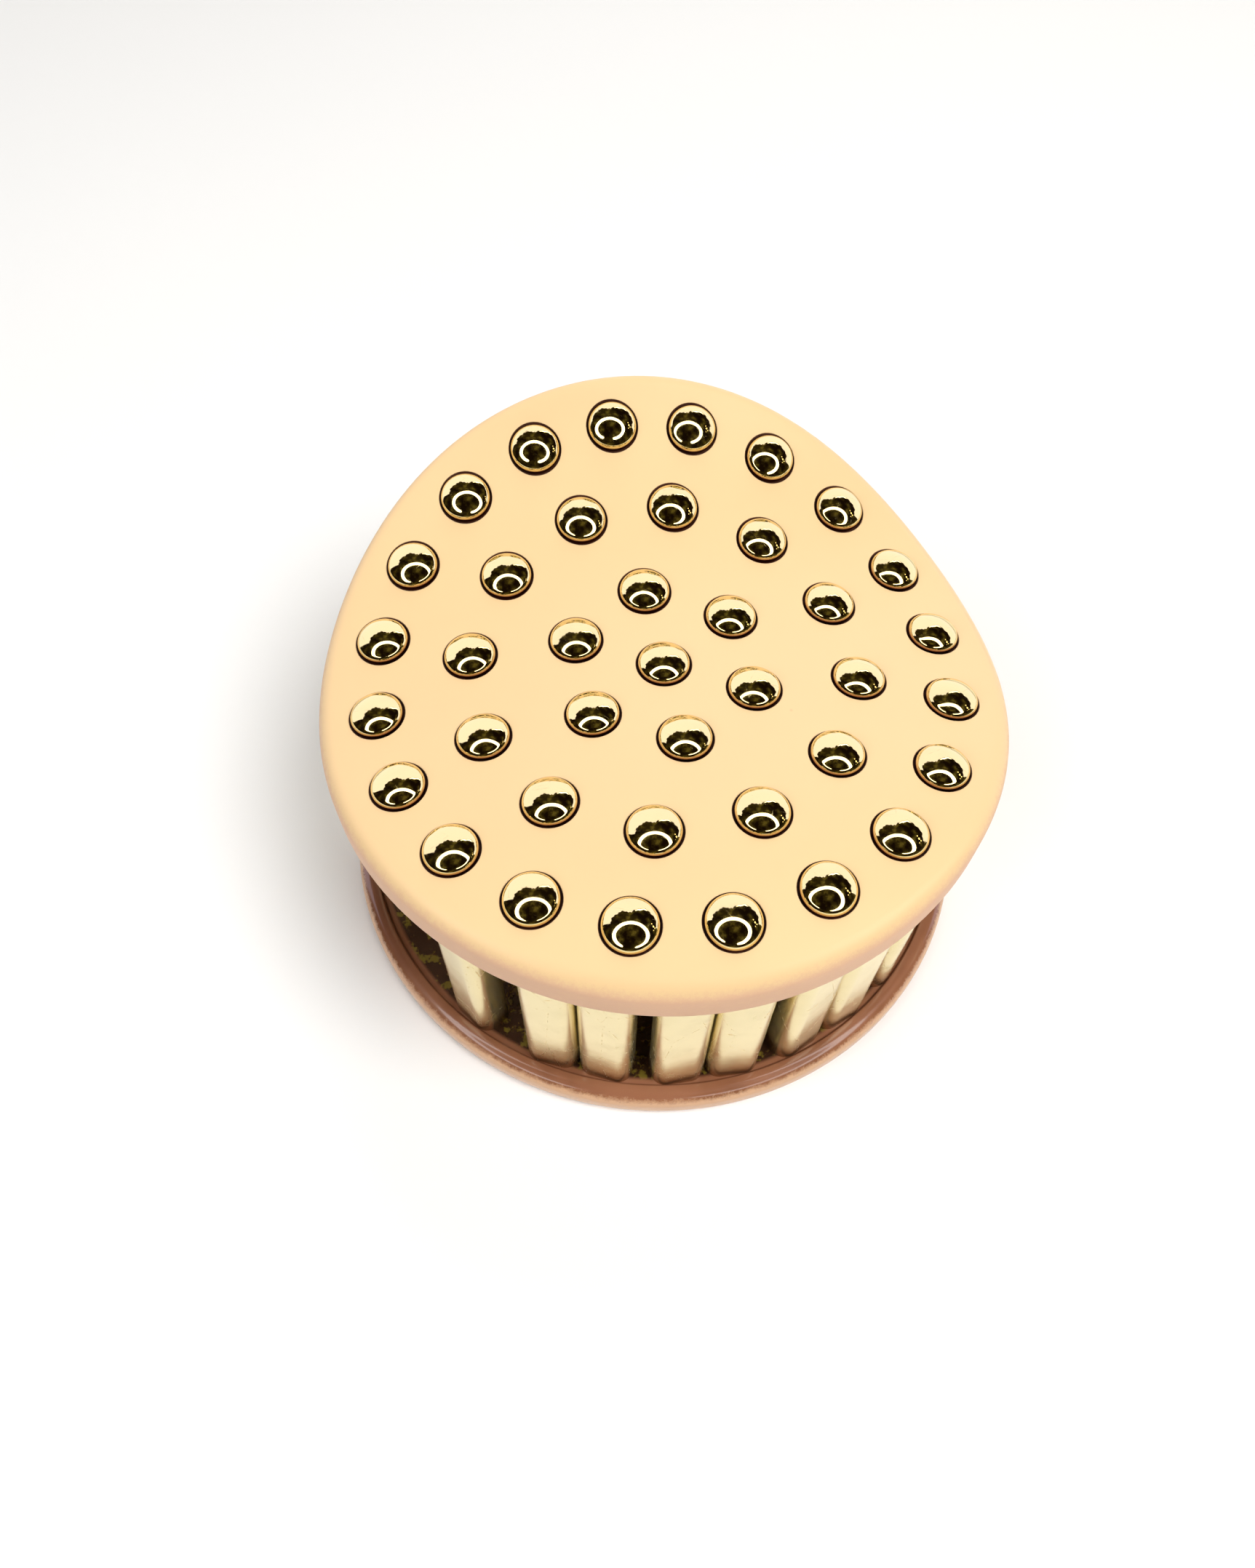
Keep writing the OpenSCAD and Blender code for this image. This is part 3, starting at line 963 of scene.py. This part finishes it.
@dataclass
class Rods:
    """The pillars round the rim and the posts under the middle and inner studs."""

    sizes: Layout
    brass: bpy.types.Material
    chamfer: float = 0.15
    spare: float = 12.0

    def pillar_outline(self) -> Shape:
        """Flat outline of a pillar: a rectangle with rounded corners."""
        s = self.sizes
        shape = Shape()
        bmesh.ops.create_grid(shape.bm, x_segments=1, y_segments=1, size=0.5)
        size = (s.pillar_depth, s.pillar_w, 1)
        bmesh.ops.scale(shape.bm, vec=size, verts=shape.bm.verts)
        bmesh.ops.bevel(
            shape.bm, geom=shape.bm.verts[:], offset=s.pillar_corner_r, offset_type="OFFSET",
            affect="VERTICES", segments=10, profile=0.5, material=-1,
        )
        return shape

    def post_outline(self) -> Shape:
        """Flat round outline of a post."""
        shape = Shape()
        bmesh.ops.create_circle(
            shape.bm, cap_ends=True, radius=self.sizes.post_r, segments=64
        )
        return shape

    def rod(self, outline: Shape, spot: Point, turn: float) -> Shape:
        """A rod from its socket in the base up to its slanted end in the top plate.

        Args:
            outline: The rod's flat outline, which is used up.
            spot: Where the rod stands.
            turn: The outline's turn, in degrees.

        Returns:
            The rod.
        """
        s = self.sizes
        rod = Shape.prism(outline, s.floor_z - s.base_socket, s.top_z + self.spare)
        stand = Matrix.Translation((*spot, 0)) @ Matrix.Rotation(math.radians(turn), 4, "Z")
        bmesh.ops.transform(rod.bm, matrix=stand, verts=rod.bm.verts)
        head = s.under_z + s.top_socket + s.wave.height(*spot)
        rod.cut_off(Vector((*spot, head)), s.wave.square_to(*spot))
        rod.soften(self.chamfer, 50.0, 1)
        return rod

    def build(self) -> list[bpy.types.Object]:
        """Builds and dresses every pillar and post."""
        s, made = self.sizes, []
        for i, (spot, turn) in enumerate(s.pillars(), 1):
            rod = self.rod(self.pillar_outline(), tuple(spot), turn)
            made.append(self.place("pillar_rod", i, rod, "pillar"))
        for kind, ring in (("middle", s.middle_ring), ("inner", s.inner_ring)):
            for i, spot in enumerate(s.ring(ring), 1):
                rod = self.rod(self.post_outline(), spot, 0)
                made.append(self.place(f"{kind}_rod", i, rod, f"{kind}_post"))
        return made

    def place(self, name: str, i: int, rod: Shape, node: str) -> bpy.types.Object:
        """Adds a numbered rod in place of the numbered node."""
        name = f"{name}_{i:02d}"
        mesh = rod.mesh(name, 25)
        return place_piece(name, mesh, Slot.POLISHED_BRASS, self.brass, f"{node}_{i:02d}")


# ---- The studio ----


def glow(name: str, colour: Colour, strength: float) -> bpy.types.Material:
    """A material that only gives light."""
    graph = Graph(name)
    return graph.finish(
        Base_Color=(0.0, 0.0, 0.0), Roughness=1.0, Specular_IOR_Level=0.0,
        Emission_Color=colour, Emission_Strength=strength,
    )


@dataclass
class Studio:
    """A pale floor, soft lamps, and the cards and ring light that the brass mirrors."""

    centre: Vector = field(default_factory=lambda: Vector((0, 0, 35)))
    eye: Vector = field(default_factory=lambda: Vector((0.0, -76.03, 130.99)))
    right: Vector = field(default_factory=lambda: Vector((0.99752, 0.06906, 0.01344)))
    down: Vector = field(default_factory=lambda: Vector((0.06558, -0.84342, -0.53323)))
    ahead: Vector = field(default_factory=lambda: Vector((-0.02549, 0.53279, -0.84586)))
    lens: float = 25.57
    floor_r: float = 3000.0
    wall_r: float = 2900.0
    ring_aim: tuple[float, float] = (-86.0, 62.0)
    ring_reach: float = 420.0
    ring_span: tuple[float, float] = (36.0, 45.0)
    ring_ends: tuple[float, float] = (-68.0, 236.0)
    ring_flat: float = 0.68
    ring_pinch: float = 0.04
    card_r: float = 600.0
    glint_r: float = 500.0

    def add_camera(self) -> None:
        """Sets the camera over the front of the frog."""
        data = bpy.data.cameras.new("camera")
        data.lens, data.sensor_width, data.clip_start = self.lens, 36.0, 0.001
        camera = bpy.data.objects.new("camera", data)
        turn = Matrix((self.right, -self.down, -self.ahead)).transposed().to_4x4()
        camera.matrix_world = Matrix.Translation(self.eye * MM) @ turn
        bpy.context.scene.collection.objects.link(camera)
        bpy.context.scene.camera = camera

    def add_floor(self) -> None:
        """Lays the pale floor and hangs a pale wall that only the camera sees."""
        floor = Shape()
        bmesh.ops.create_circle(floor.bm, cap_ends=True, radius=self.floor_r, segments=96)
        graph = Graph("pale_floor")
        place = graph.place()
        tint = graph.mix(graph.noise(place, 0.01, 2.0), (0.90, 0.90, 0.90), (0.88, 0.88, 0.885))
        paper = graph.finish(Base_Color=tint, Roughness=1.0, Specular_IOR_Level=0.0)
        self.stage(floor, "floor", paper)
        wall = Shape()
        bmesh.ops.create_uvsphere(wall.bm, u_segments=48, v_segments=24, radius=self.wall_r)
        bmesh.ops.reverse_faces(wall.bm, faces=wall.bm.faces)
        self.stage(wall, "wall", glow("pale_wall", (0.93, 0.93, 0.935), 1.0), camera=True)

    def stage(
        self, shape: Shape, name: str, material: bpy.types.Material,
        camera: bool | None = None,
    ) -> bpy.types.Object:
        """Adds a thing of the studio.

        Args:
            shape: Its shape, which is used up.
            name: Its name.
            material: Its material.
            camera: True if only the camera sees it, False if only polished faces do. Without
                it, everything does.

        Returns:
            The staged object.
        """
        mesh = shape.mesh(name, 30)
        mesh.materials.append(material)
        obj = show(name, mesh)
        if camera is not None:
            obj.visible_camera, obj.visible_glossy = camera, not camera
            obj.visible_diffuse = obj.visible_shadow = obj.visible_transmission = False
        return obj

    def add_lamp(
        self, name: str, place: Point3, size: float, power: float, colour: Colour
    ) -> None:
        """Hangs a soft lamp that lights the scene but isn't mirrored.

        Args:
            name: The lamp's name.
            place: Where it hangs, in millimetres; it faces the frog.
            size: Its width.
            power: Its power in watts.
            colour: Its colour.
        """
        data = bpy.data.lights.new(name, "AREA")
        data.shape, data.size, data.energy, data.color = "DISK", size * MM, power, colour
        lamp = bpy.data.objects.new(name, data)
        spot = Vector(place)
        turn = (spot - self.centre).to_track_quat("Z", "Y").to_matrix().to_4x4()
        lamp.matrix_world = Matrix.Translation(spot * MM) @ turn
        lamp.visible_glossy = False
        bpy.context.scene.collection.objects.link(lamp)

    @staticmethod
    def towards(turn: float, rise: float) -> Vector:
        """Unit vector in a direction and at a rise, both in degrees."""
        a, b = math.radians(turn), math.radians(rise)
        return Vector((math.cos(a) * math.cos(b), math.sin(a) * math.cos(b), math.sin(b)))

    def add_ring_light(self) -> None:
        """Hangs an open ring of light over the front for the domes to mirror."""
        axis, reach = self.towards(*self.ring_aim), self.ring_reach
        across = self.right - axis * self.right.dot(axis)
        across.normalize()
        inner, outer = (reach * math.tan(math.radians(a)) for a in self.ring_span)
        middle, half = (inner + outer) / 2, (outer - inner) / 2
        start, end = self.ring_ends
        ring = Shape()
        verts = [ring.bm.verts.new((r, 0, 0)) for r in (inner, outer)]
        edge = ring.bm.edges.new(verts)
        spin = Matrix.Rotation(math.radians(start), 3, "Z")
        bmesh.ops.rotate(ring.bm, verts=verts, matrix=spin)
        bmesh.ops.spin(
            ring.bm, geom=verts + [edge], cent=(0, 0, 0), axis=UP, dvec=(0, 0, 0),
            angle=math.radians(end - start), steps=90,
        )
        for turn in (start, end):
            tip = Matrix.Rotation(math.radians(turn), 4, "Z") @ Matrix.Translation((middle, 0, 0))
            bmesh.ops.create_circle(
                ring.bm, cap_ends=True, radius=half, segments=32, matrix=tip)
        for vert in ring.bm.verts:
            if vert.co.x < 0:
                vert.co *= 1 - self.ring_pinch * min(1.0, -vert.co.x / middle)
            vert.co.y *= self.ring_flat
        turn = Matrix((across, axis.cross(across), axis)).transposed().to_4x4()
        place = Matrix.Translation(self.centre + reach * axis) @ turn
        bmesh.ops.transform(ring.bm, matrix=place, verts=ring.bm.verts)
        self.stage(ring, "ring_light", glow("ring_glow", (1.0, 1.0, 1.0), 4.0), camera=False)

    def card(
        self, name: str, turns: tuple[float, float], low: Callable[[float], float],
        high: Callable[[float], float], colour: Colour, strength: float,
    ) -> None:
        """Stands a curved card of light round the frog that only polished faces see.

        Args:
            name: The card's name.
            turns: Directions of its two ends, in degrees.
            low: Rise of its lower edge in a direction, both in degrees.
            high: Rise of its upper edge, likewise.
            colour: Its colour.
            strength: Its strength.
        """
        card, reach = Shape(), self.card_r
        verts = [card.bm.verts.new((reach, 0, z)) for z in (0, 1)]
        edge = card.bm.edges.new(verts)
        spin = Matrix.Rotation(math.radians(turns[0]), 3, "Z")
        bmesh.ops.rotate(card.bm, verts=verts, matrix=spin)
        bmesh.ops.spin(
            card.bm, geom=verts + [edge], cent=(0, 0, 0), axis=UP, dvec=(0, 0, 0),
            angle=math.radians(turns[1] - turns[0]), steps=160,
        )
        for vert in card.bm.verts:
            turn = math.degrees(math.atan2(vert.co.y, vert.co.x))
            rise = high(turn) if vert.co.z > 0.5 else low(turn)
            vert.co.z = self.centre.z + reach * math.tan(math.radians(rise))
        self.stage(card, name, glow(name + "_glow", colour, strength), camera=False)

    def add_cards(self) -> None:
        """Stands the pale card behind the frog, the bright slip over it and the warm glints."""

        def ragged(turn: float) -> float:
            """Rise of the far card's edge, highest behind the frog."""
            side = turn - 92
            fall = 26 * math.tanh(side / 80) if side > 0 else 36 * math.tanh(-side / 42)
            waves = 1.3 * math.sin(math.radians(11 * turn)) + math.sin(math.radians(29 * turn))
            return 60 - fall + waves

        def slip(turn: float) -> float:
            """Rise of the slip's upper edge, pointed at both ends."""
            return ragged(turn) + 1.5 + 4.5 * math.sin(math.pi * (turn - 50) / 30)

        self.card("far_card", (6, 174), lambda turn: -2, ragged, (1.0, 0.95, 1.15), 1.35)
        self.card("slip", (50, 80), lambda t: ragged(t) + 1.5, slip, (1.0, 1.0, 1.0), 4.0)
        for turn, rise, size in ((6, 36, 2.0), (3, 31, 1.4), (12, 40, 1.2), (-4, 34, 1.0)):
            glint = Shape()
            spot = Matrix.Translation(self.centre + self.glint_r * self.towards(turn, rise))
            bmesh.ops.create_icosphere(
                glint.bm, subdivisions=2, radius=self.glint_r * math.radians(size), matrix=spot)
            name = f"glint_{turn}".replace("-", "m")
            self.stage(glint, name, glow(name, (1.0, 0.86, 0.5), 3.0), camera=False)

    def add_world(self) -> None:
        """Fills the rest of the room with a patchy dim olive brown."""
        world = bpy.data.worlds.new("dim_room")
        world.use_nodes = True
        tree = world.node_tree
        back = tree.nodes["Background"]
        place = tree.nodes.new("ShaderNodeTexCoord")
        noise = tree.nodes.new("ShaderNodeTexNoise")
        noise.inputs["Scale"].default_value = 3.4
        noise.inputs["Detail"].default_value = 3.0
        ramp = tree.nodes.new("ShaderNodeValToRGB")
        stops = ((0.42, (0.008, 0.004, 0.002)), (0.56, (0.035, 0.026, 0.008)),
                 (0.70, (0.13, 0.11, 0.03)))
        ramp.color_ramp.elements.new(0.5)
        for element, (at, colour) in zip(ramp.color_ramp.elements, stops):
            element.position, element.color = at, (*colour, 1.0)
        tree.links.new(place.outputs["Generated"], noise.inputs["Vector"])
        tree.links.new(noise.outputs["Fac"], ramp.inputs["Fac"])
        tree.links.new(ramp.outputs["Color"], back.inputs["Color"])
        bpy.context.scene.world = world

    def build(self) -> None:
        """Sets up the whole studio."""
        self.add_camera()
        self.add_floor()
        self.add_world()
        self.add_ring_light()
        self.add_cards()
        self.add_lamp("key_lamp", (330, -200, 640), 420, 5.2, (1.0, 0.985, 0.96))
        self.add_lamp("fill_lamp", (-420, -300, 520), 600, 2.7, (0.97, 0.98, 1.0))
        self.add_lamp("back_lamp", (60, 520, 520), 500, 1.8, (1.0, 0.98, 0.95))
        scene = bpy.context.scene
        scene.view_settings.view_transform = "Standard"
        scene.view_settings.look = "None"


# ---- The whole scene ----


def main() -> None:
    """Builds the frog and its studio."""
    logging.basicConfig(level=logging.INFO, format="%(name)s: %(message)s")
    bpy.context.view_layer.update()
    sizes = Layout()
    brass = PolishedBrass().material()
    domes = PolishedBrass("dome_brass", edged=True).material()
    rods = PolishedBrass(
        "rod_brass", (0.86, 0.74, 0.42), roughness=0.2, haze=0.1, dull=0.5, scratch=0.8,
        metal=0.85, foot=7.2,
    ).material()
    plain = PolishedBrass("plain_brass", (0.80, 0.62, 0.32), roughness=0.24, haze=0.2).material()
    TopPlate(sizes).build()
    BaseDish(sizes).build()
    Studs(sizes, domes).build()
    CentreTie(sizes, domes, brass, plain).build()
    Rods(sizes, rods).build()
    Studio().build()


if __name__ == "__main__":
    main()
